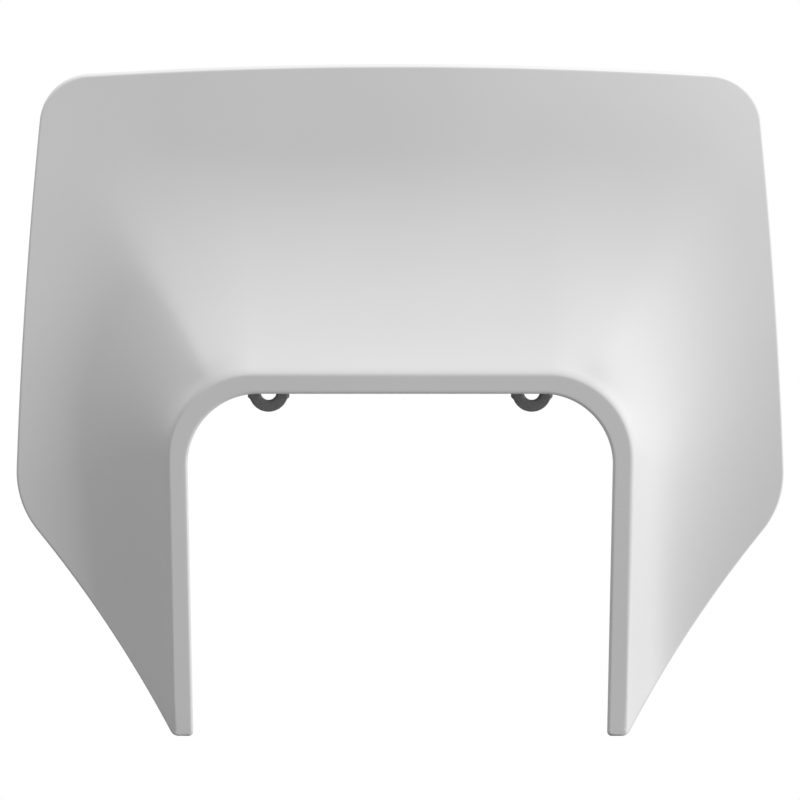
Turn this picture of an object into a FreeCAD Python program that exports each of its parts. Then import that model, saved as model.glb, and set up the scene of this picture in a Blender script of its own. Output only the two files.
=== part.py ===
"""Headlight mask of an off-road motorbike: one moulded shell and two rubber mounting grommets.

The shell is a shield that leans back over the fork, with a brow that climbs from it to a flat rim round
a headlamp opening. The opening is an upside-down U, open at the bottom between two tapering legs.
Two tabs behind the brow each carry a rubber grommet, and the mask is bolted on through their bores.

Frame, in millimetres: X across, +Y to the rear, +Z up. The origin lies halfway between the two
grommet bores, on the plane of the grommets' rear faces, where the mask meets its bracket.
"""

import FreeCAD, Part
import math
import os
import Sketcher

# Driving dimensions: name, value, meaning
SIZES = [
    ("top_height", 106.9, "top edge at its middle, above the bores"),
    ("top_crown", 4.1, "fall of the top edge from its middle to a top corner"),
    ("top_half_width", 116.0, "top corner from the middle, before it is rounded"),
    ("top_corner_radius", 16.7, "rounding of a top corner"),
    ("side_bow", 1.4, "outward bow of a side edge"),
    ("cheek_half_width", 125.4, "cheek corner from the middle, before it is rounded"),
    ("cheek_drop", 36.5, "cheek corner below the bores"),
    ("cheek_radius", 30.2, "rounding of a cheek corner"),
    ("jaw_bow", 2.6, "inward bow of the slanting edge from a cheek to a leg's tip"),
    ("leg_drop", 112.1, "leg tips below the bores"),
    ("tip_half_width", 74.0, "outer corner of a leg's tip from the middle, before it is rounded"),
    ("tip_outer_radius", 3.0, "rounding of a tip's outer corner"),
    ("tip_inner_radius", 1.5, "rounding of a tip's inner corner"),
    ("opening_half_width", 69.3, "half width of the opening at the foot of its corners"),
    ("opening_drop", 0.6, "top of the opening below the bores"),
    ("opening_radius", 22.9, "rounding of the opening's corners"),
    ("opening_taper", 0.0213, "how far a leg leans inwards for each millimetre down"),
    ("rim_width", 5.4, "flat front face of the rim"),
    ("rim_corner_radius", 26.1, "rounding of the rim's outer corners"),
    ("shield_setback", 20.0, "shield behind the rim's face at the height of the bores"),
    ("shield_lean", 0.099, "how far the shield leans back there for each millimetre up"),
    ("shield_radius", 1450.0, "side-view radius by which the lean grows with height"),
    ("corner_sweep", 8.9, "how far the top corners sweep back from the middle of the top"),
    ("side_sweep", 2.3, "how far the sides sweep back from the middle"),
    ("roof_reach", 74.5, "length of the brow's climb above the rim"),
    ("flank_reach", 85.1, "length of the climb beside the rim's corners"),
    ("foot_reach", 51.8, "length of the climb beside the leg tips"),
    ("roof_power", 2.31, "how late the climb steepens above the rim, 1 being a straight ramp"),
    ("flank_power", 4.73, "how late the climb steepens beside the rim"),
    ("shoulder_squareness", 0.141, "how much squarer the brow's shoulders are than the rim's corners"),
    ("shoulder_reach", 6.0, "distance from the rim over which the shoulders turn square"),
    ("ridge_angle", 61.3, "degrees from level at which a shoulder's ridge leaves the opening's corner"),
    ("ridge_softness", 0.5, "how soft that ridge is, 0 being a sharp line"),
    ("wall", 3.0, "wall thickness of the shell"),
    ("lip_depth", 10.0, "depth of the return lip behind the rim's face"),
    ("lip_thickness", 3.2, "thickness of the return lip"),
    ("bore_spacing", 85.8, "distance between the grommet bores"),
    ("bore_diameter", 5.6, "grommet bore"),
    ("bore_lead_in", 0.6, "chamfer at the mouth of a bore"),
    ("flange_diameter", 12.9, "front flange of a grommet"),
    ("flange_front", 1.6, "thickness of the front flange"),
    ("flange_rear", 1.8, "thickness of the rear flange"),
    ("flange_rear_diameter", 11.4, "rear flange of a grommet"),
    ("shoulder_width", 13.6, "width across the rear flange's shoulders"),
    ("shoulder_drop", 2.4, "foot of the shoulders below the bore"),
    ("shoulder_rise", 4.2, "top of the shoulders above the bore"),
    ("shoulder_slant", 0.8, "slant at the foot of the shoulders"),
    ("flange_gap", 1.0, "air between the lip and the front flange"),
    ("tab_hole_diameter", 8.4, "hole of a tab, which the grommet's neck fills"),
    ("tab_width", 12.4, "width of a tab"),
    ("tab_thickness", 3.0, "thickness of a tab"),
    ("tab_rise", 40.0, "length of a tab's blank above the bore, before the brow cuts it off"),
    ("fit_air", 0.05, "air between a grommet and its tab, on each side"),
    ("trim_margin", 6.0, "how far the blanks overrun the outline"),
    ("trim_depth", 120.0, "depth of the blanks that trim the outline"),
]

# Points of the skin across its width and up its height
SKIN_COLUMNS = 61
SKIN_ROWS = 53

SIDES = {"left": -1, "right": 1}

doc = FreeCAD.newDocument("headlight_mask")
sheet = doc.addObject("Spreadsheet::Sheet", "Sizes")
for row, (alias, value, meaning) in enumerate(SIZES, start=1):
    sheet.set(f"A{row}", meaning)
    sheet.set(f"B{row}", str(value))
    sheet.setAlias(f"B{row}", alias)
doc.recompute()
READ = {alias: float(sheet.get(alias)) for alias, value, meaning in SIZES}


def size(alias):
    """A driving dimension, as read from the sheet."""
    return READ[alias]


def bound(expression):
    """An expression on the sheet's cells: each size in it is written in braces."""
    return expression.replace("{", "Sizes.").replace("}", "")


def feature(kind, label, **expressions):
    """A named document object with its properties bound to the sheet."""
    made = doc.addObject(kind, label)
    made.Label = label
    for prop, expression in expressions.items():
        made.setExpression(prop.replace("__", "."), bound(expression))
    return made


def shaped(label, shape):
    """A named document object that holds a shape worked out here."""
    made = doc.addObject("Part::Feature", label)
    made.Label = label
    made.Shape = shape
    return made


def boolean(kind, label, base, tool):
    """A boolean of two document objects: Part::Cut or Part::Common."""
    made = doc.addObject(kind, label)
    made.Label = label
    made.Base = base
    made.Tool = tool
    return made


def fused(label, *shapes):
    """Several document objects joined to one."""
    made = doc.addObject("Part::MultiFuse", label)
    made.Label = label
    made.Shapes = list(shapes)
    return made


# Pieces that stand one before the other along Y, from the grommets' rear faces to the rim's face
STACK = ("flange_rear", "tab_thickness", "flange_front", "flange_gap", "lip_depth")
RIM_FRONT = -sum(size(part) for part in STACK)

# Centre of an opening corner, and that of the rim's outer corner, which the brow's shoulder shares
CORNER_X = size("opening_half_width") - size("opening_radius")
CORNER_Z = -size("opening_drop") - size("opening_radius")
RIM_RADIUS = size("rim_corner_radius")
RIM_X = size("opening_half_width") + size("rim_width") - RIM_RADIUS
RIM_Z = size("rim_width") - size("opening_drop") - RIM_RADIUS


def leg_lean(z):
    """How far a leg has leaned at a height below the opening's corner, which is negative inwards."""
    return size("opening_taper") * min(z - CORNER_Z, 0.0)


def shield(x, z):
    """Depth of the plain shield behind the rim's face: a lean that grows with height, and swept corners."""
    lean = size("shield_lean") * z + z**2 / (2.0 * size("shield_radius"))
    share = (z - CORNER_Z) / (size("top_height") - CORNER_Z)
    sweep = size("corner_sweep") * share**2 + size("side_sweep")
    sweep *= (x / size("cheek_half_width")) ** 2
    return size("shield_setback") + lean + sweep


def ridge(turn):
    """Rise of a shoulder's ridge at an angle round the rim's corner, near 1 on the ridge's line.

    From the flank and from the roof it rises with the square of the angle, and the lower of the two holds,
    with a soft change from one to the other.
    """
    line = math.radians(size("ridge_angle"))
    flank = (turn / line) ** 2
    roof = ((0.5 * math.pi - turn) / (0.5 * math.pi - line)) ** 2
    return 0.5 * (flank + roof - math.hypot(flank - roof, size("ridge_softness")))


def climb(x, z):
    """Share of the shield's depth that the brow takes back: 1 on the rim's outer line, 0 on the plain shield.

    The share falls as a power of the way covered, from the rim to the end of the climb's reach. Reach and
    power turn from those of the flank to those of the roof round a corner, and down a leg the reach
    shrinks to that of the foot. Inside the rim the climb goes on and levels off, where it is cut away.
    """
    across = abs(x) - RIM_X - leg_lean(z)
    up = z - RIM_Z
    turn = math.atan2(max(up, 0.0), max(across, 1e-6))
    roof = math.sin(turn) ** 2
    power = size("flank_power") + (size("roof_power") - size("flank_power")) * roof
    if up > 0.0:
        reach = size("flank_reach") + (size("roof_reach") - size("flank_reach")) * roof
        radius = math.hypot(max(across, 0.0), up)
    else:
        down = min(up / (-size("leg_drop") - RIM_Z), 1.0)
        ease = down**2 * (3.0 - 2.0 * down)
        reach = size("flank_reach") + (size("foot_reach") - size("flank_reach")) * ease
        radius = across
    way = max((radius - RIM_RADIUS) / size("shoulder_reach"), 0.0) ** 2
    radius *= 1.0 - size("shoulder_squareness") * way / (1.0 + way) * ridge(turn)
    outside = radius - RIM_RADIUS
    if outside < 0.0:
        level = size("rim_width") + size("trim_margin")
        outside = level * math.tanh(outside / level)
    return max(1.0 - outside / reach, 0.0) ** power


def setback(x, z):
    """Depth of the outer skin behind the rim's face."""
    return shield(x, z) * (1.0 - climb(x, z))


def skin_point(x, z, depth):
    """A point at a depth below the outer skin, measured square to it."""
    step = 0.05
    slope_x = (setback(x + step, z) - setback(x - step, z)) / (2.0 * step)
    slope_z = (setback(x, z + step) - setback(x, z - step)) / (2.0 * step)
    inward = FreeCAD.Vector(-slope_x, 1.0, -slope_z).normalize()
    return FreeCAD.Vector(x, RIM_FRONT + setback(x, z), z) + inward * depth


def skin_face(depth):
    """The skin at a depth below its outer side, as one smooth surface over and past the outline."""
    far_x = size("cheek_half_width") + size("trim_margin")
    far_z = size("top_height") + size("trim_margin")
    foot_z = -size("leg_drop") - size("trim_margin")
    grid = []
    for column in range(SKIN_COLUMNS):
        x = far_x * (2.0 * column / (SKIN_COLUMNS - 1) - 1.0)
        heights = [foot_z + (far_z - foot_z) * row / (SKIN_ROWS - 1) for row in range(SKIN_ROWS)]
        grid.append([skin_point(x, z, depth) for z in heights])
    surface = Part.BSplineSurface()
    surface.interpolate(grid)
    return surface.toShape()


def skin_blank():
    """The shell's wall before trimming: outer and inner skins joined by ruled edges."""
    outer = skin_face(0.0)
    inner = skin_face(size("wall"))
    sides = []
    for near in outer.Edges:
        far = min(inner.Edges, key=lambda edge: edge.CenterOfMass.distanceToPoint(near.CenterOfMass))
        sides.append(Part.makeRuledSurface(near, far))
    shell = Part.Shell([outer, inner] + sides)
    shell.sewShape()
    solid = Part.makeSolid(shell)
    if solid.Volume < 0.0:
        solid.reverse()
    return solid


def at(x, z):
    """A point of the rim's plane."""
    return FreeCAD.Vector(x, RIM_FRONT, z)


def bowed(start, end, bow):
    """An arc between two points of the rim's plane, bowed to the left of its run by the given height."""
    run = (end - start).normalize()
    left = FreeCAD.Vector(-run.z, 0.0, run.x)
    return Part.Arc(start, (start + end) * 0.5 + left * bow, end).toShape()


def outline_face():
    """The mask's outline from the front, with its corners still sharp and its opening not yet cut."""
    corner = (size("top_half_width"), size("top_height") - size("top_crown"))
    cheek = (size("cheek_half_width"), -size("cheek_drop"))
    tip = (size("tip_half_width"), -size("leg_drop"))
    edges = [
        bowed(at(-tip[0], tip[1]), at(-cheek[0], cheek[1]), -size("jaw_bow")),
        bowed(at(-cheek[0], cheek[1]), at(-corner[0], corner[1]), size("side_bow")),
        Part.Arc(at(-corner[0], corner[1]), at(0.0, size("top_height")), at(*corner)).toShape(),
        bowed(at(*corner), at(*cheek), size("side_bow")),
        bowed(at(*cheek), at(*tip), -size("jaw_bow")),
        Part.makeLine(at(*tip), at(-tip[0], tip[1])),
    ]
    return Part.Face(Part.Wire(edges))


def opening_face(offset):
    """The headlamp opening from the front, grown by offset, and run past the leg tips."""
    foot_z = -size("leg_drop") - size("trim_margin")
    radius = size("opening_radius") + offset
    foot_x = CORNER_X + radius + leg_lean(foot_z)
    half = radius * math.sqrt(0.5)
    top_z = CORNER_Z + radius
    edge_x = CORNER_X + radius
    middle_x = CORNER_X + half
    edges = [
        Part.makeLine(at(-foot_x, foot_z), at(foot_x, foot_z)),
        Part.makeLine(at(foot_x, foot_z), at(edge_x, CORNER_Z)),
        Part.Arc(at(edge_x, CORNER_Z), at(middle_x, CORNER_Z + half), at(CORNER_X, top_z)).toShape(),
        Part.makeLine(at(CORNER_X, top_z), at(-CORNER_X, top_z)),
        Part.Arc(at(-CORNER_X, top_z), at(-middle_x, CORNER_Z + half), at(-edge_x, CORNER_Z)).toShape(),
        Part.makeLine(at(-edge_x, CORNER_Z), at(-foot_x, foot_z)),
    ]
    return Part.Face(Part.Wire(edges))


def extruded(label, face, depth):
    """A face of the rim's plane drawn out along Y to a solid."""
    made = feature("Part::Extrusion", label, LengthFwd=depth)
    made.Base = face
    made.DirMode = "Custom"
    made.Dir = FreeCAD.Vector(0.0, 1.0, 0.0)
    made.Solid = True
    return made


def upright_edges(shape, corners):
    """Numbers and radii of the edges that run along Y through the given (x, z, radius) corners."""
    found = []
    for number, edge in enumerate(shape.Edges, start=1):
        a, b = edge.Vertexes[0].Point, edge.Vertexes[-1].Point
        if math.hypot(a.x - b.x, a.z - b.z) > 1e-6:
            continue
        for x, z, radius in corners:
            if math.hypot(abs(a.x) - x, a.z - z) < 1e-3:
                found.append((number, radius, radius))
    return found


def mask_prism():
    """The mask's outline less its opening, drawn back from the rim's plane, with rounded corners."""
    outline = extruded("outline_prism", shaped("outline", outline_face()), "{trim_depth}")
    opening = extruded("opening_prism", shaped("opening", opening_face(0.0)), "{trim_depth}")
    sharp = boolean("Part::Cut", "sharp_prism", outline, opening)
    doc.recompute()
    tip_z = -size("leg_drop")
    rounded = doc.addObject("Part::Fillet", "mask_prism")
    rounded.Base = sharp
    rounded.Edges = upright_edges(
        sharp.Shape,
        [
            (size("top_half_width"), size("top_height") - size("top_crown"), size("top_corner_radius")),
            (size("cheek_half_width"), -size("cheek_drop"), size("cheek_radius")),
            (size("tip_half_width"), tip_z, size("tip_outer_radius")),
            (size("opening_half_width") + leg_lean(tip_z), tip_z, size("tip_inner_radius")),
        ],
    )
    return rounded


def bore_cylinder(label, side, radius):
    """A cylinder about a grommet's bore, through the tab."""
    made = feature("Part::Cylinder", label, Radius=radius, Height="{tab_thickness}")
    made.Placement.Rotation = FreeCAD.Rotation(FreeCAD.Vector(1.0, 0.0, 0.0), 90.0)
    made.setExpression("Placement.Base.x", bound(f"{side} * {{bore_spacing}} / 2"))
    made.setExpression("Placement.Base.y", bound("-{flange_rear}"))
    return made


def tab(name, side, under_skin):
    """A tab that hangs from the brow behind the lip, with a round end about the grommet's bore."""
    stem = feature(
        "Part::Box",
        f"{name}_tab_stem",
        Length="{tab_width}",
        Width="{tab_thickness}",
        Height="{tab_rise}",
        Placement__Base__x=f"{side} * {{bore_spacing}} / 2 - {{tab_width}} / 2",
        Placement__Base__y="-{flange_rear} - {tab_thickness}",
    )
    end = bore_cylinder(f"{name}_tab_end", side, "{tab_width} / 2")
    blank = fused(f"{name}_tab_blank", stem, end)
    return boolean("Part::Common", f"{name}_tab", blank, under_skin)


def mask_shell():
    """The moulded shell: trimmed wall, flat rim, return lip and two tabs with their holes."""
    prism = mask_prism()
    blank = shaped("skin_blank", skin_blank())
    wall = boolean("Part::Common", "trimmed_wall", blank, prism)
    band = extruded("lip_blank", shaped("lip_outline", opening_face(size("lip_thickness"))), "{lip_depth}")
    lip = boolean("Part::Common", "lip", band, prism)
    under_skin = extruded("under_skin", shaped("middle_skin", skin_face(0.5 * size("wall"))), "{trim_depth}")
    tabs = [tab(name, side, under_skin) for name, side in SIDES.items()]
    whole = fused("joined_shell", wall, lip, *tabs)
    whole.Refine = True
    for name, side in SIDES.items():
        hole = bore_cylinder(f"{name}_tab_hole", side, "{tab_hole_diameter} / 2")
        whole = boolean("Part::Cut", f"shell_with_{name}_hole", whole, hole)
    whole.Label = "mask_shell"
    doc.recompute()
    return whole


def polygons(body, label, plane, outlines):
    """A sketch of closed polygons on one of a body's planes: each corner is a pair of expressions."""
    sketch = body.newObject("Sketcher::SketchObject", label)
    support = next(item for item in body.Origin.OriginFeatures if item.Role == plane)
    sketch.AttachmentSupport = [(support, "")]
    sketch.MapMode = "FlatFace"
    for corners in outlines:
        first = sketch.GeometryCount
        count = len(corners)
        points = []
        for corner in corners:
            values = [float(sketch.evalExpression(bound(expression))) for expression in corner]
            points.append(FreeCAD.Vector(values[0], values[1], 0.0))
        for i in range(count):
            sketch.addGeometry(Part.LineSegment(points[i], points[(i + 1) % count]))
        for i in range(count):
            sketch.addConstraint(Sketcher.Constraint("Coincident", first + i, 2, first + (i + 1) % count, 1))
        for i, (point, corner) in enumerate(zip(points, corners)):
            for kind, value, expression in zip(("DistanceX", "DistanceY"), point, corner):
                number = sketch.addConstraint(Sketcher.Constraint(kind, -1, 1, first + i, 1, value))
                if expression != "0":
                    sketch.setExpression(f"Constraints[{number}]", bound(expression))
    return sketch


def grommet(name, side):
    """A rubber grommet: a spool round the tab's hole, with a chamfered bore and squared rear shoulders."""
    body = doc.addObject("PartDesign::Body", f"{name}_grommet")
    body.Label = f"{name}_grommet"
    body.setExpression("Placement.Base.x", bound(f"{side} * {{bore_spacing}} / 2"))
    front = "-({flange_rear} + {tab_thickness} + {flange_front})"
    groove_front = "-({flange_rear} + {tab_thickness} + {fit_air})"
    groove_rear = "-({flange_rear} - {fit_air})"
    neck = "{tab_hole_diameter} / 2 - {fit_air}"
    bore = "{bore_diameter} / 2"
    profile = [
        (bore, "0"),
        (bore, front + " + {bore_lead_in}"),
        (bore + " + {bore_lead_in}", front),
        ("{flange_diameter} / 2", front),
        ("{flange_diameter} / 2", groove_front),
        (neck, groove_front),
        (neck, groove_rear),
        ("{flange_rear_diameter} / 2", groove_rear),
        ("{flange_rear_diameter} / 2", "0"),
    ]
    spool = body.newObject("PartDesign::Revolution", f"{name}_grommet_spool")
    spool.Profile = polygons(body, f"{name}_grommet_profile", "XY_Plane", [profile])
    spool.ReferenceAxis = (spool.Profile[0], ["V_Axis"])
    spool.Angle = 360.0
    shoulders = []
    for end in SIDES.values():
        outer = f"{end} * {{shoulder_width}} / 2"
        inner = f"{end} * ({{shoulder_width}} / 2 - {{shoulder_slant}})"
        root = f"{end} * {{tab_hole_diameter}} / 2"
        corners = [
            (root, "{shoulder_rise}"),
            (inner, "{shoulder_rise}"),
            (outer, "{shoulder_rise} - {shoulder_slant}"),
            (outer, "-{shoulder_drop} + {shoulder_slant}"),
            (inner, "-{shoulder_drop}"),
            (root, "-{shoulder_drop}"),
        ]
        shoulders.append(corners)
    pad = body.newObject("PartDesign::Pad", f"{name}_grommet_shoulders")
    pad.Profile = polygons(body, f"{name}_grommet_shoulder_outline", "XZ_Plane", shoulders)
    pad.setExpression("Length", bound("{flange_rear} - {fit_air}"))
    doc.recompute()
    return body


pieces = {"mask_shell": mask_shell()}
for name, side in SIDES.items():
    pieces[f"{name}_grommet"] = grommet(name, side)
doc.recompute()

os.makedirs("parts", exist_ok=True)
for item in doc.Objects:
    if "Invalid" in item.State or "Error" in item.State:
        raise RuntimeError(f"{item.Label} did not build: {item.State}")
for node, piece in pieces.items():
    shape = piece.Shape
    if not shape.isValid() or len(shape.Solids) != 1:
        raise RuntimeError(f"{node} is not one valid solid")
    shape.exportStep(f"parts/{node}.step")
    print(node, round(shape.Volume, 1), shape.optimalBoundingBox())
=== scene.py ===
"""Looks of a headlight mask: a white moulded shell and two rubber grommets on a plain pale stage.

The script is laid out as an add-on. Each group of pieces has an operator that builds it from the sizes in
its property group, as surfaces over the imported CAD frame, and one operator sets the stage.
Frame, in metres: X across, +Y to the rear, +Z up. The origin lies halfway between the grommet bores, on the
plane of the grommets' rear faces. The mask's front faces -Y.
"""

import math

import bpy
import numpy as np
from bpy.props import FloatProperty, FloatVectorProperty, IntProperty, PointerProperty, StringProperty
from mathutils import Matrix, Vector


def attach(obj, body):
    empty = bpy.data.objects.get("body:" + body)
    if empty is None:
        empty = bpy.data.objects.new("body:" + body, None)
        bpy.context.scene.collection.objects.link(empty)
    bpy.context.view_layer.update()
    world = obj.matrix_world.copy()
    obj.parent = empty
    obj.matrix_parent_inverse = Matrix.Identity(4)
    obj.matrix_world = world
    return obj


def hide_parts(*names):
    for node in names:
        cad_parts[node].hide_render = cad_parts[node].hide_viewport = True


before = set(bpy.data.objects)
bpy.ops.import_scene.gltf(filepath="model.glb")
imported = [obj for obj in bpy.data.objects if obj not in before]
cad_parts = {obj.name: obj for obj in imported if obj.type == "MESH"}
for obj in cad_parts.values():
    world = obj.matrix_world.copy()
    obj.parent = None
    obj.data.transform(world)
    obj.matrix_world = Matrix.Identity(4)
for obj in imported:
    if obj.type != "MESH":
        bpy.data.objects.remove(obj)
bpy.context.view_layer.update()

bl_info = {
    "name": "Headlight Mask",
    "version": (1, 0, 0),
    "blender": (4, 5, 0),
    "location": "View3D > Sidebar > Mask",
    "description": "Builds a moulded headlight mask with its rubber grommets, and a stage for it",
    "category": "Add Mesh",
}

SIDES = {"left": -1.0, "right": 1.0}

# Points along the outline's edges and round each of its corners
TOP_POINTS, SIDE_POINTS, JAW_POINTS, CORNER_POINTS = 60, 64, 50, 18

# Steps across the shell's sections: a rounded edge, rim's face, crease, climb, back and wall
BEND_STEPS, RIM_STEPS, CREASE_STEPS, CLIMB_STEPS, BACK_STEPS, WALL_STEPS = 8, 4, 10, 36, 30, 4
# How closely the climb's steps crowd towards the rim, 1 being even
CLIMB_CROWDING = 1.3
# A rounded edge's finely divided strip, as a share of its radius
ROLL_SHARE = 1.9
# The crease's finely divided strip, in metres inside and outside the rim's outer line
CREASE_INSIDE, CREASE_OUTSIDE = 0.001, 0.0012
# Largest shares that strips take of the narrow sections near the leg tips
NARROW_ROLL, NARROW_FACE, NARROW_CREASE, NARROW_LIP, NARROW_BACK = 0.25, 0.25, 0.5, 0.6, 0.3

# Steps round a tab's lower end, up its sides, along its top and over its edges
TAB_TURNS, TAB_RISES, TAB_TOPS, TAB_BENDS = 32, 8, 16, 4
# Halvings that find a tab's top
HALVINGS = 40
# Steps over a grommet's rounded edges
GROMMET_BENDS = 5

# Distance in metres over which the skin's slope is measured
SLOPE_STEP = 5e-5
# Stands in for 0 where a distance or share is divided by
TINY = 1e-9
# Edges that turn by more than this are drawn sharp
SHARP_ANGLE = math.radians(60.0)
# Part of a pattern's range over which one tone runs into the other
TONE_START, TONE_END = 0.35, 0.65
# Places of a Mix node's two colours among its inputs, and of the mixed one among its outputs
FIRST_COLOUR, SECOND_COLOUR, MIXED_COLOUR = 6, 7, 2


def length(name, millimetres, description):
    """A length setting, written in millimetres and held in metres."""
    return FloatProperty(
        name=name, description=description, default=millimetres * 0.001, unit="LENGTH", precision=5
    )


def number(name, value, description):
    """A plain number setting."""
    return FloatProperty(name=name, description=description, default=value, precision=4)


def angle(name, degrees, description):
    """An angle setting, written in degrees and held in radians."""
    return FloatProperty(name=name, description=description, default=math.radians(degrees), subtype="ANGLE")


def direction(name, value, description):
    """A direction setting."""
    return FloatVectorProperty(name=name, description=description, default=value, subtype="XYZ")


def colour(name, value, description):
    """A colour setting, written as an sRGB hex number."""
    return StringProperty(name=name, description=description, default=value)


class ShellSizes(bpy.types.PropertyGroup):
    """Sizes of the moulded shell."""

    top_height: length("Top height", 106.9, "Top edge at its middle, above the bores")
    top_crown: length("Top crown", 4.1, "Fall of the top edge from its middle to a top corner")
    top_half_width: length("Top half width", 116.0, "Top corner from the middle, before it is rounded")
    top_corner_radius: length("Top corner radius", 16.7, "Rounding of a top corner")
    side_bow: length("Side bow", 1.4, "Outward bow of a side edge")
    cheek_half_width: length("Cheek half width", 125.4, "Cheek corner from the middle, before it is rounded")
    cheek_drop: length("Cheek drop", 36.5, "Cheek corner below the bores")
    cheek_radius: length("Cheek radius", 30.2, "Rounding of a cheek corner")
    jaw_bow: length("Jaw bow", 2.6, "Inward bow of the edge from a cheek to a leg's tip")
    leg_drop: length("Leg drop", 112.1, "Leg tips below the bores")
    tip_half_width: length("Tip half width", 74.0, "Outer corner of a leg's tip, before it is rounded")
    tip_outer_radius: length("Tip outer radius", 3.0, "Rounding of a tip's outer corner")
    tip_inner_radius: length("Tip inner radius", 1.5, "Rounding of a tip's inner corner")
    opening_half_width: length("Opening half width", 69.3, "Half width of the opening below its corners")
    opening_drop: length("Opening drop", 0.6, "Top of the opening below the bores")
    opening_radius: length("Opening radius", 22.9, "Rounding of the opening's corners")
    opening_taper: number("Opening taper", 0.0213, "How far a leg leans inwards for its fall")
    rim_width: length("Rim width", 5.4, "Flat front face of the rim")
    rim_corner_radius: length("Rim corner radius", 26.1, "Rounding of the rim's outer corners")
    rim_front: length("Rim front", -17.4, "The rim's front face, from the grommets' rear faces")
    shield_setback: length("Shield setback", 20.0, "Shield behind the rim's face at the bores' height")
    shield_lean: number("Shield lean", 0.099, "How far the shield leans back there for its rise")
    shield_radius: length("Shield radius", 1450.0, "Side-view radius by which the lean grows with height")
    corner_sweep: length("Corner sweep", 8.9, "How far the top corners sweep back")
    side_sweep: length("Side sweep", 2.3, "How far the sides sweep back from the middle")
    roof_reach: length("Roof reach", 74.5, "Length of the brow's climb above the rim")
    flank_reach: length("Flank reach", 85.1, "Length of the climb beside the rim's corners")
    foot_reach: length("Foot reach", 51.8, "Length of the climb beside the leg tips")
    roof_power: number("Roof power", 2.31, "How late the climb steepens above the rim")
    flank_power: number("Flank power", 4.73, "How late the climb steepens beside the rim")
    squareness: number("Shoulder squareness", 0.141, "How much squarer the shoulders are than the rim")
    shoulder_reach: length("Shoulder reach", 6.0, "Distance from the rim in which the shoulders turn square")
    ridge_angle: angle("Ridge angle", 61.3, "Angle from level at which a shoulder's ridge leaves the corner")
    ridge_softness: number("Ridge softness", 0.5, "How soft that ridge is, 0 being a sharp line")
    level: length("Level", 11.4, "Depth inside the rim where the climb levels off")
    crease: length("Crease", 1.0, "Softness of the crease between the rim's face and a flank")
    roof_crease: length("Roof crease", 0.6, "Softness of the crease between the rim's face and the roof")
    crease_reach: length("Crease reach", 1.1, "How far the soft crease widens the rim's face")
    wall: length("Wall", 3.0, "Wall thickness")
    lip_depth: length("Lip depth", 10.0, "Return lip behind the rim's face")
    lip_thickness: length("Lip thickness", 3.2, "Thickness of the return lip")
    rim_round: length("Rim rounding", 1.0, "Rounding of the rim's inner edge")
    edge_round: length("Edge rounding", 0.5, "Rounding of the outline's front edge")
    bevel_width: length("Bevel width", 0.9, "Bevel along the top edge, seen from the front")
    bevel_depth: length("Bevel depth", 1.3, "Bevel along the top edge, along Y")
    back_round: length("Back rounding", 0.6, "Rounding of the back edges")
    tab_width: length("Tab width", 12.4, "Width of a grommet tab")
    tab_front: length("Tab front", -4.8, "Front face of a tab")
    tab_rear: length("Tab rear", -1.8, "Rear face of a tab")
    tab_hole: length("Tab hole", 8.4, "Diameter of a tab's hole")
    tab_round: length("Tab rounding", 0.4, "Rounding of a tab's edges")
    bore_spacing: length("Bore spacing", 85.8, "Distance between the grommet bores")


class GrommetSizes(bpy.types.PropertyGroup):
    """Sizes of a rubber grommet."""

    bore: length("Bore", 5.6, "Diameter of the bore")
    lead_in: length("Lead-in", 0.6, "Rounded mouth of the bore")
    bore_draft: length("Bore draft", 0.25, "How far the bore's wall closes in towards the rear")
    flange: length("Front flange", 12.9, "Diameter of the front flange")
    front: length("Front", -6.4, "Front face, from the rear one")
    flange_rear: length("Rear flange", 11.4, "Diameter of the rear flange between its shoulders")
    neck: length("Neck", 8.3, "Diameter of the neck in the tab's hole")
    groove_front: length("Groove front", -4.85, "Front wall of the groove")
    groove_rear: length("Groove rear", -1.75, "Rear wall of the groove")
    shoulder_width: length("Shoulder width", 13.6, "Width across the rear flange's shoulders")
    shoulder_rise: length("Shoulder rise", 4.2, "Top of the shoulders above the bore")
    shoulder_drop: length("Shoulder drop", 2.4, "Foot of the shoulders below the bore")
    shoulder_slant: length("Shoulder slant", 0.8, "Slant at the shoulders' corners")
    edge_round: length("Edge rounding", 0.45, "Rounding of the flanges' edges")
    turns: IntProperty(name="Turns", description="Points round a grommet", default=160)


class StageSettings(bpy.types.PropertyGroup):
    """Light, camera and floor."""

    plastic: colour("Plastic", "#EDEDED", "Colour of the moulded shell")
    plastic_cloud: colour("Plastic clouds", "#EAEAEA", "Darker tone of the shell's faint clouds")
    rubber: colour("Rubber", "#828282", "Colour of the grommets' pale bloom")
    rubber_ground: colour("Rubber ground", "#727272", "Darker tone of the grommets between the bloom")
    floor: colour("Floor", "#F2F2F2", "Colour of the floor")
    floor_mottle: colour("Floor mottle", "#F0F0F0", "Darker tone of the floor's mottle")
    floor_bounce: colour("Floor bounce", "#707070", "Colour by which the floor throws light back on the mask")
    floor_reach: length("Floor reach", 3000.0, "Distance from the middle of the floor to its edges")
    ambient: number("Ambient", 0.506, "Even light from all round")
    side_light: number("Side light", 1.68, "Strength of the light from the right")
    side_from: direction("Side from", (0.963, -0.27, 0.0), "Direction from the mask to the side light")
    side_spread: angle("Side spread", 1.0, "Angle that the side light fills, seen from the mask")
    top_light: number("Top light", 1.82, "Strength of the light from above")
    top_from: direction("Top from", (0.195, 0.0, 0.981), "Direction from the mask to the top light")
    top_spread: angle("Top spread", 12.0, "Angle that the top light fills, seen from the mask")
    view_width: length("View width", 260.8, "Width that the camera sees")
    view_distance: length("View distance", 1200.0, "Camera in front of the grommets' rear faces")
    view_x: length("View across", -0.065, "Middle of the view, across")
    view_z: length("View height", -2.61, "Middle of the view, above the bores")


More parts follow.
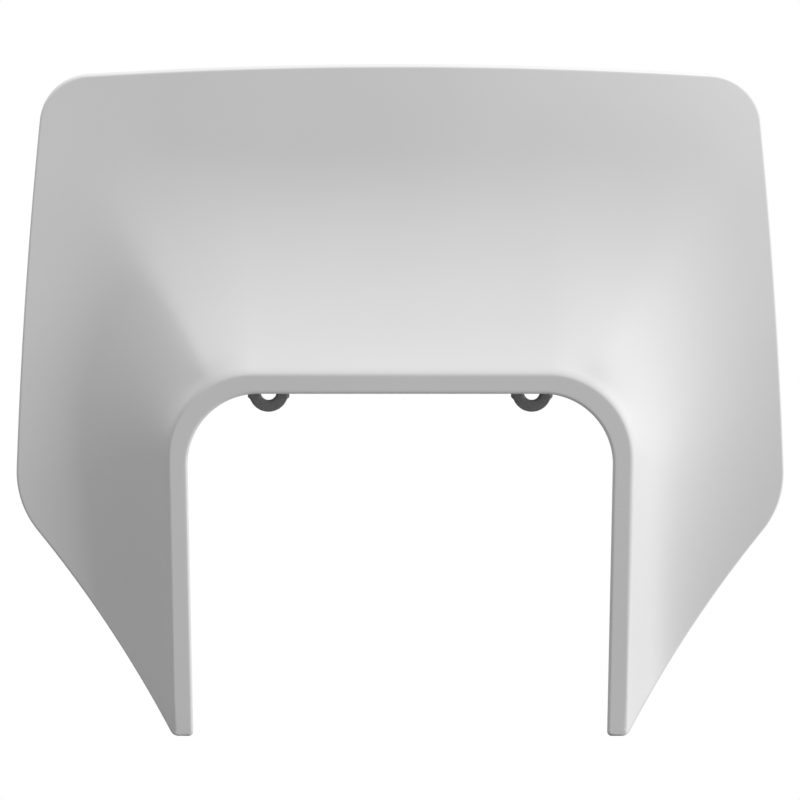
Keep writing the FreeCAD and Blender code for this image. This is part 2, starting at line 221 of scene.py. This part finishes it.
def arc(centre, start, end, count):
    """Points on a circle about centre from start towards end by the shorter way, without the end."""
    a, b = np.subtract(start, centre), np.subtract(end, centre)
    first = math.atan2(a[1], a[0])
    turn = math.atan2(a[0] * b[1] - a[1] * b[0], a @ b)
    at = first + turn * np.arange(count) / count
    return centre + np.hypot(*a) * np.stack([np.cos(at), np.sin(at)], axis=1)


def bowed(start, end, bow):
    """Centre and signed radius of the arc between two points that bows to the left of its run, if above 0."""
    run = np.subtract(end, start)
    chord = np.hypot(*run)
    left = np.array([-run[1], run[0]]) / chord
    radius = (chord**2 / 4.0 + bow**2) / (2.0 * bow)
    return np.add(start, end) / 2.0 + left * (bow - radius), radius


def rounding(first, second, radius, corner):
    """Centre of a circle that rounds the corner of two arcs, and its touching points.

    The circle lies inside both arcs, so its centre is off each arc's own centre by the arc's signed radius
    less its own. Of the two points where such circles meet, the one nearer to the corner is taken.
    """
    (c1, r1), (c2, r2) = first, second
    d1, d2 = abs(r1 - radius), abs(r2 - radius)
    apart = np.hypot(*(c2 - c1))
    along = (d1**2 - d2**2 + apart**2) / (2.0 * apart)
    off = math.sqrt(d1**2 - along**2)
    unit = (c2 - c1) / apart
    square = np.array([-unit[1], unit[0]])
    middles = [c1 + unit * along + square * off, c1 + unit * along - square * off]
    middle = min(middles, key=lambda point: np.hypot(*(point - corner)))
    touch = [c + (middle - c) / np.hypot(*(middle - c)) * abs(r) for c, r in (first, second)]
    return middle, touch[0], touch[1]


def right_outline(s):
    """The outline's right half, from the middle of the top edge to the foot of the leg's tip.

    Bowed top, side and jaw edges are joined by rounded corners. The last one ends on the tip's level foot.
    """
    corner = np.array([s.top_half_width, s.top_height - s.top_crown])
    cheek = np.array([s.cheek_half_width, -s.cheek_drop])
    tip = np.array([s.tip_half_width, -s.leg_drop])
    top = bowed(corner * (-1.0, 1.0), corner, s.top_crown)
    side = bowed(corner, cheek, s.side_bow)
    jaw = bowed(cheek, tip, -s.jaw_bow)
    upper, upper_a, upper_b = rounding(top, side, s.top_corner_radius, corner)
    lower, lower_a, lower_b = rounding(side, jaw, s.cheek_radius, cheek)
    foot_z = s.tip_outer_radius - s.leg_drop
    away = abs(jaw[1]) + s.tip_outer_radius
    foot = np.array([jaw[0][0] - math.sqrt(away**2 - (foot_z - jaw[0][1]) ** 2), foot_z])
    foot_a = jaw[0] + (foot - jaw[0]) / away * abs(jaw[1])
    foot_b = np.array([foot[0], -s.leg_drop])
    runs = [
        arc(top[0], (0.0, s.top_height), upper_a, TOP_POINTS),
        arc(upper, upper_a, upper_b, CORNER_POINTS),
        arc(side[0], upper_b, lower_a, SIDE_POINTS),
        arc(lower, lower_a, lower_b, CORNER_POINTS),
        arc(jaw[0], lower_b, foot_a, JAW_POINTS),
        arc(foot, foot_a, foot_b, CORNER_POINTS),
        foot_b[None],
    ]
    return np.concatenate(runs)


def stations(s):
    """Inner and outer ends of the shell's sections, from the left leg's tip round to the right one's.

    A section starts from each point of the outline. It runs level across a leg, towards the middle of the
    opening's corner round a corner and straight down over the opening's top, and ends on the opening's line.
    """
    outer = right_outline(s)
    x, z = outer.T
    middle = corner_centre(s)
    off = outer - middle
    turned = middle + off / np.hypot(*off.T)[:, None] * s.opening_radius
    lean = s.opening_half_width + s.opening_taper * np.minimum(z - middle[1], 0.0)
    radius = s.tip_inner_radius
    foot_z = radius - s.leg_drop
    foot_x = s.opening_half_width + s.opening_taper * (foot_z - middle[1]) + radius
    below = np.clip((foot_z - z) / radius, 0.0, 1.0)
    level = np.where(z < foot_z, foot_x - radius * np.sqrt(1.0 - below**2), lean)
    on_leg, on_top = z < middle[1], x < middle[0]
    inner_x = np.where(on_leg, level, np.where(on_top, x, turned[:, 0]))
    inner_z = np.where(on_leg, z, np.where(on_top, -s.opening_drop, turned[:, 1]))
    inner = np.stack([inner_x, inner_z], axis=1)
    return [np.concatenate([(half * (-1.0, 1.0))[::-1], half[1:]]) for half in (inner, outer)]


def corner_centre(s):
    """Middle of the opening's right corner."""
    return np.array([s.opening_half_width - s.opening_radius, -s.opening_drop - s.opening_radius])


def rim_centre(s):
    """Middle of the rim's right outer corner, which the brow's shoulder shares."""
    reach = s.rim_width - s.rim_corner_radius
    return np.array([s.opening_half_width + reach, reach - s.opening_drop])


def ridge(s, turn):
    """Rise of a shoulder's ridge at an angle round the rim's corner, near 1 on the ridge's line.

    From the flank and from the roof it rises with the square of the angle, and the lower of the two holds,
    with a soft change from one to the other.
    """
    flank = (turn / s.ridge_angle) ** 2
    roof = ((0.5 * math.pi - turn) / (0.5 * math.pi - s.ridge_angle)) ** 2
    return 0.5 * (flank + roof - np.hypot(flank - roof, s.ridge_softness))


def setback(s, x, z):
    """Depth of the front skin behind the plane of the rim's face, below 0 inside the crease's line.

    The crease's line is the rim's outer line, widened by the crease's reach. A shield leans back, more so
    with height and towards its top corners. A climb lifts it to the rim: it is 1 on the crease's line and
    falls to 0 as a power of the share of its reach that is left. Reach and power turn from the flank's to the
    roof's round a corner, and the reach shrinks down a leg. The ridge takes the climb further out round a
    corner, so that the shoulders are squarer than the rim.
    """
    middle = corner_centre(s)
    share = (z - middle[1]) / (s.top_height - middle[1])
    shield = s.shield_setback + s.shield_lean * z + z**2 / (2.0 * s.shield_radius)
    shield = shield + (s.corner_sweep * share**2 + s.side_sweep) * (x / s.cheek_half_width) ** 2
    lean = s.opening_taper * np.minimum(z - middle[1], 0.0)
    rim_x, rim_z = rim_centre(s)
    up = z - rim_z
    across = np.abs(x) - rim_x - lean
    turn = np.arctan2(np.maximum(up, 0.0), np.maximum(across, TINY))
    roof = np.sin(turn) ** 2
    power = s.flank_power + (s.roof_power - s.flank_power) * roof
    down = np.clip(up / (-s.leg_drop - rim_z), 0.0, 1.0)
    foot = (s.foot_reach - s.flank_reach) * down**2 * (3.0 - 2.0 * down)
    reach = s.flank_reach + np.where(up > 0.0, (s.roof_reach - s.flank_reach) * roof, foot)
    radius = np.where(up > 0.0, np.hypot(np.maximum(across, 0.0), up), across)
    rim = s.rim_corner_radius + s.crease_reach
    way = np.maximum((radius - rim) / s.shoulder_reach, 0.0) ** 2
    outside = radius * (1.0 - s.squareness * way / (1.0 + way) * ridge(s, turn)) - rim
    outside = np.where(outside < 0.0, s.level * np.tanh(outside / s.level), outside)
    climb = np.maximum(1.0 - outside / reach, 0.0) ** power
    return shield * (1.0 - climb)


def skin(s, x, z):
    """Front skin: the setback, bent into the flat face of the rim where it would pass it.

    Within the crease's softness of the rim's plane, a parabola takes the setback over to the plane.
    """
    depth = setback(s, x, z)
    up = np.clip((z - rim_centre(s)[1]) / s.rim_corner_radius, 0.0, 1.0)
    crease = s.crease + (s.roof_crease - s.crease) * up**2
    bent = (depth + crease) ** 2 / (4.0 * crease)
    return s.rim_front + np.where(np.abs(depth) < crease, bent, np.maximum(depth, 0.0))


def inner_skin(s, x, z):
    """Back skin: one wall behind the front skin, measured square to it and taken along Y."""
    slope_x = (skin(s, x + SLOPE_STEP, z) - skin(s, x - SLOPE_STEP, z)) / (2.0 * SLOPE_STEP)
    slope_z = (skin(s, x, z + SLOPE_STEP) - skin(s, x, z - SLOPE_STEP)) / (2.0 * SLOPE_STEP)
    return skin(s, x, z) + s.wall * np.sqrt(1.0 + slope_x**2 + slope_z**2)


def edge_distance(x, z, line):
    """Distance of points from a closed line of straight pieces, seen from the front."""
    nearest = np.full(x.shape, np.inf)
    for (ax, az), (bx, bz) in zip(line, np.roll(line, -1, axis=0)):
        run_x, run_z = bx - ax, bz - az
        share = np.clip(((x - ax) * run_x + (z - az) * run_z) / (run_x**2 + run_z**2), 0.0, 1.0)
        nearest = np.minimum(nearest, np.hypot(x - ax - share * run_x, z - az - share * run_z))
    return nearest


def rolled(distance, radius):
    """How far a rounded edge falls away at a distance inwards from it: a quarter circle."""
    inside = np.clip(radius - distance, 0.0, radius)
    return radius - np.sqrt(radius**2 - inside**2)


def quarter(steps):
    """Sines and cosines of a quarter turn in even steps, with both ends."""
    turn = 0.5 * math.pi * np.arange(steps + 1) / steps
    return np.sin(turn), np.cos(turn)


def spaced(low, high, count, power=1.0):
    """Columns of places from low towards high, without high, closer together near low for a larger power."""
    share = (np.arange(count) / count) ** power
    return low[:, None] + (high - low)[:, None] * share


def shell_grid(s):
    """The shell's wall and return lip: closed sections, one at each station of the outline.

    A section's loop runs over the front skin from the opening to the outline, over the edge, back over the
    inner skin to the lip, down the lip's side, across its end and up its inner wall. Near an edge the skin
    falls away by a quarter circle, and along the top edge by a flat bevel too.
    """
    inner, outer = stations(s)
    run = outer - inner
    width = np.hypot(*run.T)
    unit = run / width[:, None]
    line = np.concatenate([outer, inner[::-1]])

    roll = np.minimum(ROLL_SHARE * s.rim_round, NARROW_ROLL * width)
    clear = width - 2.0 * roll
    near = np.minimum(s.rim_width - CREASE_INSIDE, roll + NARROW_FACE * clear)
    far = np.minimum(s.rim_width + CREASE_OUTSIDE, roll + NARROW_CREASE * clear)
    bend = 1.0 - quarter(BEND_STEPS)[1]
    front = [
        roll[:, None] * bend[:-1],
        spaced(roll, near, RIM_STEPS),
        spaced(near, far, CREASE_STEPS),
        spaced(far, width - roll, CLIMB_STEPS, CLIMB_CROWDING),
        width[:, None] - roll[:, None] * bend[::-1],
    ]
    front = np.concatenate(front, axis=1)

    lip = np.minimum(s.lip_thickness, NARROW_LIP * width)
    back_roll = np.minimum(ROLL_SHARE * s.back_round, NARROW_BACK * (width - lip))
    back = [
        width[:, None] - back_roll[:, None] * bend[:-1],
        spaced(width - back_roll, lip, BACK_STEPS),
        lip[:, None],
    ]
    back = np.concatenate(back, axis=1)

    def place(along):
        """Points of the sections at distances from the opening."""
        return inner[:, None, 0] + unit[:, None, 0] * along, inner[:, None, 1] + unit[:, None, 1] * along

    def columns(along, y):
        """Points of the sections at distances from the opening and at depths."""
        x, z = place(along)
        return np.stack(np.broadcast_arrays(x, y, z), axis=2)

    x, z = place(front)
    radius = s.rim_round + (s.edge_round - s.rim_round) * front / width[:, None]
    front_y = skin(s, x, z) + rolled(edge_distance(x, z, line), radius)
    along = np.gradient(outer, axis=0)
    upward = np.clip(along[:, 0] / np.hypot(*along.T), 0.0, 1.0) ** 2
    bevel = np.clip(1.0 - (width[:, None] - front) / s.bevel_width, 0.0, 1.0)
    front_y = front_y + s.bevel_depth * upward[:, None] * bevel
    x, z = place(back)
    back_y = inner_skin(s, x, z) - rolled(edge_distance(x, z, line), s.back_round)
    end_roll = np.minimum(s.back_round, NARROW_BACK * lip)
    end = [lip[:, None] - end_roll[:, None] * bend[:-1], end_roll[:, None] * bend[::-1]]
    end = np.concatenate(end, axis=1)
    x, z = place(end)
    side = np.minimum(np.minimum(end, lip[:, None] - end), z + s.leg_drop)
    end_y = s.rim_front + s.lip_depth - rolled(side, np.maximum(end_roll, TINY)[:, None])

    inward = np.arange(1, WALL_STEPS) / WALL_STEPS
    edge_y = front_y[:, -1:] + (back_y[:, :1] - front_y[:, -1:]) * inward
    side_y = back_y[:, -1:] + (end_y[:, :1] - back_y[:, -1:]) * inward
    wall_y = end_y[:, -1:] + (front_y[:, :1] - end_y[:, -1:]) * inward
    loops = [
        columns(front, front_y),
        columns(width[:, None], edge_y),
        columns(back, back_y),
        columns(lip[:, None], side_y),
        columns(end, end_y),
        columns(np.zeros_like(lip)[:, None], wall_y),
    ]
    return np.concatenate(loops, axis=1)


def tab_grid(s, centre):
    """A tab behind the brow: closed loops through its thickness, at each direction about the grommet's bore.

    The tab's outline is a half circle below the bore, two straight sides and a top that follows the middle of
    the brow's wall. Its loop runs from the hole to the outline on the front and back on the rear.
    """
    half = 0.5 * s.tab_width
    turn = math.pi * (1.0 + np.arange(TAB_TURNS + 1) / TAB_TURNS)
    up = np.arange(1, TAB_RISES + 1) / (TAB_RISES + 1)
    across = np.linspace(1.0, -1.0, TAB_TOPS + 1)
    edge = np.full(TAB_RISES, half)
    x = np.concatenate([half * np.cos(turn), edge, half * across, -edge])
    rise = np.concatenate([np.zeros_like(turn), up, np.ones_like(across), up[::-1]])
    below = np.concatenate([half * np.sin(turn), np.zeros(len(x) - len(turn))])

    def top(y):
        """Height at which the middle of the wall passes a depth, found by halving."""
        low, high = np.zeros(x.shape), np.full(x.shape, s.top_height)
        for step in range(HALVINGS):
            middle = 0.5 * (low + high)
            over = 0.5 * (skin(s, x + centre, middle) + inner_skin(s, x + centre, middle)) > y
            low, high = np.where(over, low, middle), np.where(over, middle, high)
        return 0.5 * (low + high)

    sine, cosine = quarter(TAB_BENDS)
    inset = s.tab_round * (1.0 - sine)
    depth = s.tab_round * (1.0 - cosine)
    loop_in = np.concatenate([inset, inset[::-1]])
    loop_y = np.concatenate([s.tab_front + depth, (s.tab_rear - depth)[::-1]])
    rows = []
    for shrink, y in zip(loop_in, loop_y):
        scale = 1.0 - shrink / half
        height = below * scale + rise * top(y)
        rows.append(np.stack([centre + x * scale, np.full(x.shape, y), height], axis=1))
    out_x, out_z = rows[0][:, 0] - centre, rows[0][:, 2]
    share = 0.5 * s.tab_hole / np.hypot(out_x, out_z)
    for y in (s.tab_rear, s.tab_front):
        rows.append(np.stack([centre + out_x * share, np.full(x.shape, y), out_z * share], axis=1))
    return np.stack(rows[::-1], axis=1)


def grommet_grid(s, centre):
    """A grommet: one closed profile turned about the bore, whose rear flange is squared by two shoulders.

    The profile runs from the bore over the rounded front flange, through the groove and round the rear
    flange. In each direction the rear flange reaches as far as the larger of its circle and the slanted box.
    """
    sine, cosine = quarter(GROMMET_BENDS)
    early, late = s.edge_round * (1.0 - sine), s.edge_round * (1.0 - cosine)
    bore, flange, neck = 0.5 * s.bore, 0.5 * s.flange, 0.5 * s.neck
    plain = np.concatenate([
        bore + s.lead_in * (1.0 - cosine),
        flange - early,
        flange - late,
        [neck, neck],
    ])
    plain_y = np.concatenate([
        s.front + s.lead_in * (1.0 - sine),
        s.front + late,
        s.groove_front - early,
        [s.groove_front, s.groove_rear],
    ])
    turn = 2.0 * math.pi * np.arange(s.turns) / s.turns
    way = np.stack([np.cos(turn), np.sin(turn)], axis=1)
    half = 0.5 * s.shoulder_width
    slant = math.sqrt(0.5)
    corners = slant * np.array([(1, 1), (-1, 1), (1, -1), (-1, -1)])
    faces = np.concatenate([[(1, 0), (-1, 0), (0, 1), (0, -1)], corners])
    upper = (half + s.shoulder_rise - s.shoulder_slant) * slant
    lower = (half + s.shoulder_drop - s.shoulder_slant) * slant
    reach = np.array([half, half, s.shoulder_rise, s.shoulder_drop, upper, upper, lower, lower])
    facing = np.maximum(way @ faces.T, TINY)
    square = np.maximum(np.min(reach / facing, axis=1), 0.5 * s.flange_rear)
    radius = np.concatenate([
        np.broadcast_to(plain, (s.turns, len(plain))),
        square[:, None] - np.concatenate([early, late]),
        np.full((s.turns, 1), bore - s.bore_draft),
    ], axis=1)
    y = np.concatenate([plain_y, s.groove_rear + late, -early, [0.0]])
    x = centre + radius * way[:, :1]
    return np.stack(np.broadcast_arrays(x, y, radius * way[:, 1:]), axis=2)[:, ::-1]


def grid_faces(rows, columns, closed):
    """Four-cornered faces of a grid whose columns close on themselves, and its rows too if closed."""
    i, j = np.meshgrid(np.arange(rows if closed else rows - 1), np.arange(columns), indexing="ij")
    after_i, after_j = (i + 1) % rows, (j + 1) % columns
    corners = [(i, j), (after_i, j), (after_i, after_j), (i, after_j)]
    return np.stack([a * columns + b for a, b in corners], axis=2).reshape(-1, 4)


def add_piece(name, grids, material):
    """A mesh of one or more grids, each given as points and whether its rows close on themselves."""
    points, faces, count = [], [], 0
    for grid, closed in grids:
        rows, columns = grid.shape[:2]
        quads = grid_faces(rows, columns, closed) + count
        first = np.arange(columns) + count
        ends = [] if closed else [first[::-1], first + (rows - 1) * columns]
        points.append(grid.reshape(-1, 3))
        faces += quads.tolist() + [end.tolist() for end in ends]
        count += rows * columns
    mesh = bpy.data.meshes.new(name)
    mesh.from_pydata(np.concatenate(points).tolist(), [], faces)
    mesh.shade_smooth()
    mesh.set_sharp_from_angle(angle=SHARP_ANGLE)
    mesh.materials.append(material)
    piece = bpy.data.objects.new(name, mesh)
    bpy.context.scene.collection.objects.link(piece)
    return piece


def linear(code):
    """An sRGB hex colour as a linear one."""
    channels = [int(code[i : i + 2], 16) / 255.0 for i in (1, 3, 5)]
    return [c / 12.92 if c <= 0.04045 else ((c + 0.055) / 1.055) ** 2.4 for c in channels] + [1.0]


def add_node(tree, kind, inputs=(), **settings):
    """A node with its settings. Each input is a socket and its value, or the output it is joined to."""
    node = tree.nodes.new(kind)
    for name, value in settings.items():
        setattr(node, name, value)
    for socket, value in inputs:
        if isinstance(value, bpy.types.NodeSocket):
            tree.links.new(value, node.inputs[socket])
        else:
            node.inputs[socket].default_value = value
    return node


def new_material(name):
    """An empty node material, its tree and the object's own coordinates."""
    material = bpy.data.materials.new(name)
    material.use_nodes = True
    tree = material.node_tree
    tree.nodes.clear()
    return material, tree, add_node(tree, "ShaderNodeTexCoord").outputs["Object"]


def per_size(millimetres):
    """Scale of a pattern whose features are about this large."""
    return 1000.0 / millimetres


def two_tones(tree, pattern, dark, light):
    """A colour that runs from one sRGB colour to another over the middle of a pattern's range."""
    middle = [("Value", pattern), ("From Min", TONE_START), ("From Max", TONE_END)]
    share = add_node(tree, "ShaderNodeMapRange", middle).outputs["Result"]
    colours = [("Factor", share), (FIRST_COLOUR, linear(dark)), (SECOND_COLOUR, linear(light))]
    return add_node(tree, "ShaderNodeMix", colours, data_type="RGBA").outputs[MIXED_COLOUR]


def plastic_material(s):
    """Satin white polypropylene: an even pale body with a soft sheen and a fine moulded grain."""
    material, tree, place = new_material("satin_white_polypropylene")
    # The resin's flow leaves faint clouds of tone about 60 mm across
    flow = [("Vector", place), ("Scale", per_size(60.0)), ("Detail", 2.0)]
    clouds = add_node(tree, "ShaderNodeTexNoise", flow).outputs["Fac"]
    # The mould's spark-eroded grain is 0.2 mm, drawn at 0.8 mm so that it shows at this image size
    pits = [("Vector", place), ("Scale", per_size(0.8)), ("Detail", 3.0)]
    grain = add_node(tree, "ShaderNodeTexNoise", pits).outputs["Fac"]
    bump = add_node(tree, "ShaderNodeBump", [("Height", grain), ("Strength", 0.12), ("Distance", 0.00004)])
    # The grain also breaks up the sheen a little
    gloss = add_node(tree, "ShaderNodeMapRange", [("Value", grain), ("To Min", 0.42), ("To Max", 0.54)])
    shader = add_node(tree, "ShaderNodeBsdfPrincipled", [
        ("Base Color", two_tones(tree, clouds, s.plastic_cloud, s.plastic)),
        ("Normal", bump.outputs["Normal"]),
        ("Roughness", gloss.outputs["Result"]),
        ("IOR", 1.49),
        ("Specular IOR Level", 0.35),
    ])
    add_node(tree, "ShaderNodeOutputMaterial", [("Surface", shader.outputs["BSDF"])])
    return material


def rubber_material(s):
    """Matt dark grey moulded rubber: nearly no sheen, and a dusty bloom in its pores."""
    material, tree, place = new_material("moulded_grey_rubber")
    # Bloom gathers in paler specks about 0.7 mm across
    bloom = [("Vector", place), ("Scale", per_size(0.7)), ("Detail", 4.0)]
    specks = add_node(tree, "ShaderNodeTexNoise", bloom).outputs["Fac"]
    bump = add_node(tree, "ShaderNodeBump", [("Height", specks), ("Strength", 0.2), ("Distance", 0.00005)])
    gloss = add_node(tree, "ShaderNodeMapRange", [("Value", specks), ("To Min", 0.72), ("To Max", 0.86)])
    shader = add_node(tree, "ShaderNodeBsdfPrincipled", [
        ("Base Color", two_tones(tree, specks, s.rubber_ground, s.rubber)),
        ("Normal", bump.outputs["Normal"]),
        ("Roughness", gloss.outputs["Result"]),
        ("IOR", 1.5),
        ("Specular IOR Level", 0.3),
    ])
    add_node(tree, "ShaderNodeOutputMaterial", [("Surface", shader.outputs["BSDF"])])
    return material


def floor_material(s):
    """Pale matt studio paper, with the faint mottle of its fibres."""
    material, tree, place = new_material("pale_studio_paper")
    # Fibres clump at about 3 mm
    clumps = [("Vector", place), ("Scale", per_size(3.0)), ("Detail", 2.0)]
    fibres = add_node(tree, "ShaderNodeTexNoise", clumps).outputs["Fac"]
    tone = two_tones(tree, fibres, s.floor_mottle, s.floor)
    # The camera and reflections see it pale, and it throws back little light from below
    bounced = add_node(tree, "ShaderNodeLightPath").outputs["Is Diffuse Ray"]
    colours = [("Factor", bounced), (FIRST_COLOUR, tone), (SECOND_COLOUR, linear(s.floor_bounce))]
    seen = add_node(tree, "ShaderNodeMix", colours, data_type="RGBA").outputs[MIXED_COLOUR]
    finish = [("Base Color", seen), ("Roughness", 0.95), ("Specular IOR Level", 0.0)]
    shader = add_node(tree, "ShaderNodeBsdfPrincipled", finish)
    add_node(tree, "ShaderNodeOutputMaterial", [("Surface", shader.outputs["BSDF"])])
    return material


class MASK_OT_shell(bpy.types.Operator):
    """Build the moulded shell with its rim, return lip and grommet tabs"""

    bl_idname = "mask.shell"
    bl_label = "Moulded Shell"

    def execute(self, context):
        s = context.scene.mask_shell
        grids = [(shell_grid(s), False)]
        grids += [(tab_grid(s, 0.5 * side * s.bore_spacing), True) for side in SIDES.values()]
        piece = add_piece("moulded_shell", grids, plastic_material(context.scene.mask_stage))
        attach(piece, "root")
        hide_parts("mask_shell")
        return {"FINISHED"}


class MASK_OT_grommets(bpy.types.Operator):
    """Build the two rubber grommets in the shell's tabs"""

    bl_idname = "mask.grommets"
    bl_label = "Rubber Grommets"

    def execute(self, context):
        s = context.scene.mask_grommets
        spacing = context.scene.mask_shell.bore_spacing
        material = rubber_material(context.scene.mask_stage)
        for name, side in SIDES.items():
            grid = grommet_grid(s, 0.5 * side * spacing)
            piece = add_piece(f"{name}_rubber_grommet", [(grid, True)], material)
            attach(piece, "root")
            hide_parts(f"{name}_grommet")
        return {"FINISHED"}


class MASK_OT_stage(bpy.types.Operator):
    """Set the floor, the light and the camera"""

    bl_idname = "mask.stage"
    bl_label = "Stage"

    def execute(self, context):
        scene = context.scene
        s = scene.mask_stage
        scene.view_settings.view_transform = "Standard"

        # The floor is one square face under the leg tips
        mesh = bpy.data.meshes.new("floor")
        reach, foot = s.floor_reach, -scene.mask_shell.leg_drop
        corners = [(-reach, -reach, foot), (reach, -reach, foot), (reach, reach, foot), (-reach, reach, foot)]
        mesh.from_pydata(corners, [], [(0, 1, 2, 3)])
        mesh.materials.append(floor_material(s))
        floor = bpy.data.objects.new("floor", mesh)
        scene.collection.objects.link(floor)

        # The background is white to the camera and in reflections, and lights the mask more weakly
        world = bpy.data.worlds.new("even_light")
        scene.world = world
        world.use_nodes = True
        tree = world.node_tree
        tree.nodes.clear()
        path = add_node(tree, "ShaderNodeLightPath")
        seen = path.outputs["Is Camera Ray"]
        for kind in ("Is Glossy Ray", "Is Transmission Ray"):
            either = [(0, seen), (1, path.outputs[kind])]
            seen = add_node(tree, "ShaderNodeMath", either, operation="MAXIMUM").outputs["Value"]
        levels = [("Value", seen), ("To Min", s.ambient), ("To Max", 1.0)]
        level = add_node(tree, "ShaderNodeMapRange", levels)
        even = [("Color", linear("#FFFFFF")), ("Strength", level.outputs["Result"])]
        backdrop = add_node(tree, "ShaderNodeBackground", even)
        add_node(tree, "ShaderNodeOutputWorld", [("Surface", backdrop.outputs["Background"])])

        # Two lamps graze the front. The broad one above gives the shadow on the floor, and the small one at
        # the right darkens the left flank without throwing the brow's shadow on the shield
        lamps = {
            "side_light": (s.side_light, s.side_from, s.side_spread, False),
            "top_light": (s.top_light, s.top_from, s.top_spread, True),
        }
        for name, (strength, towards, spread, shadow) in lamps.items():
            lamp = bpy.data.lights.new(name, "SUN")
            lamp.energy = strength
            lamp.angle = spread
            lamp.use_shadow = shadow
            light = bpy.data.objects.new(name, lamp)
            light.rotation_euler = Vector(towards).to_track_quat("Z", "Y").to_euler()
            scene.collection.objects.link(light)

        # The camera looks straight at the front, without perspective
        view = bpy.data.cameras.new("camera")
        view.type = "ORTHO"
        view.ortho_scale = s.view_width
        camera = bpy.data.objects.new("camera", view)
        camera.location = (s.view_x, -s.view_distance, s.view_z)
        camera.rotation_euler = (math.radians(90.0), 0.0, 0.0)
        scene.collection.objects.link(camera)
        scene.camera = camera
        return {"FINISHED"}


class MASK_PT_panel(bpy.types.Panel):
    """Lists the mask's operators"""

    bl_idname = "MASK_PT_panel"
    bl_label = "Headlight Mask"
    bl_space_type = "VIEW_3D"
    bl_region_type = "UI"
    bl_category = "Mask"

    def draw(self, context):
        for operator in (MASK_OT_shell, MASK_OT_grommets, MASK_OT_stage):
            self.layout.operator(operator.bl_idname)


CLASSES = (
    ShellSizes,
    GrommetSizes,
    StageSettings,
    MASK_OT_shell,
    MASK_OT_grommets,
    MASK_OT_stage,
    MASK_PT_panel,
)


def register():
    """Register the classes and hang their settings on the scene."""
    for item in CLASSES:
        bpy.utils.register_class(item)
    bpy.types.Scene.mask_shell = PointerProperty(type=ShellSizes)
    bpy.types.Scene.mask_grommets = PointerProperty(type=GrommetSizes)
    bpy.types.Scene.mask_stage = PointerProperty(type=StageSettings)


def unregister():
    """Take the settings and the classes away again."""
    del bpy.types.Scene.mask_stage
    del bpy.types.Scene.mask_grommets
    del bpy.types.Scene.mask_shell
    for item in reversed(CLASSES):
        bpy.utils.unregister_class(item)


def plain(box):
    """A box of two corners as plain lists."""
    return [list(map(float, corner)) for corner in box]


def main():
    register()
    bpy.ops.mask.shell()
    bpy.ops.mask.grommets()
    bpy.ops.mask.stage()


if __name__ == "__main__":
    main()
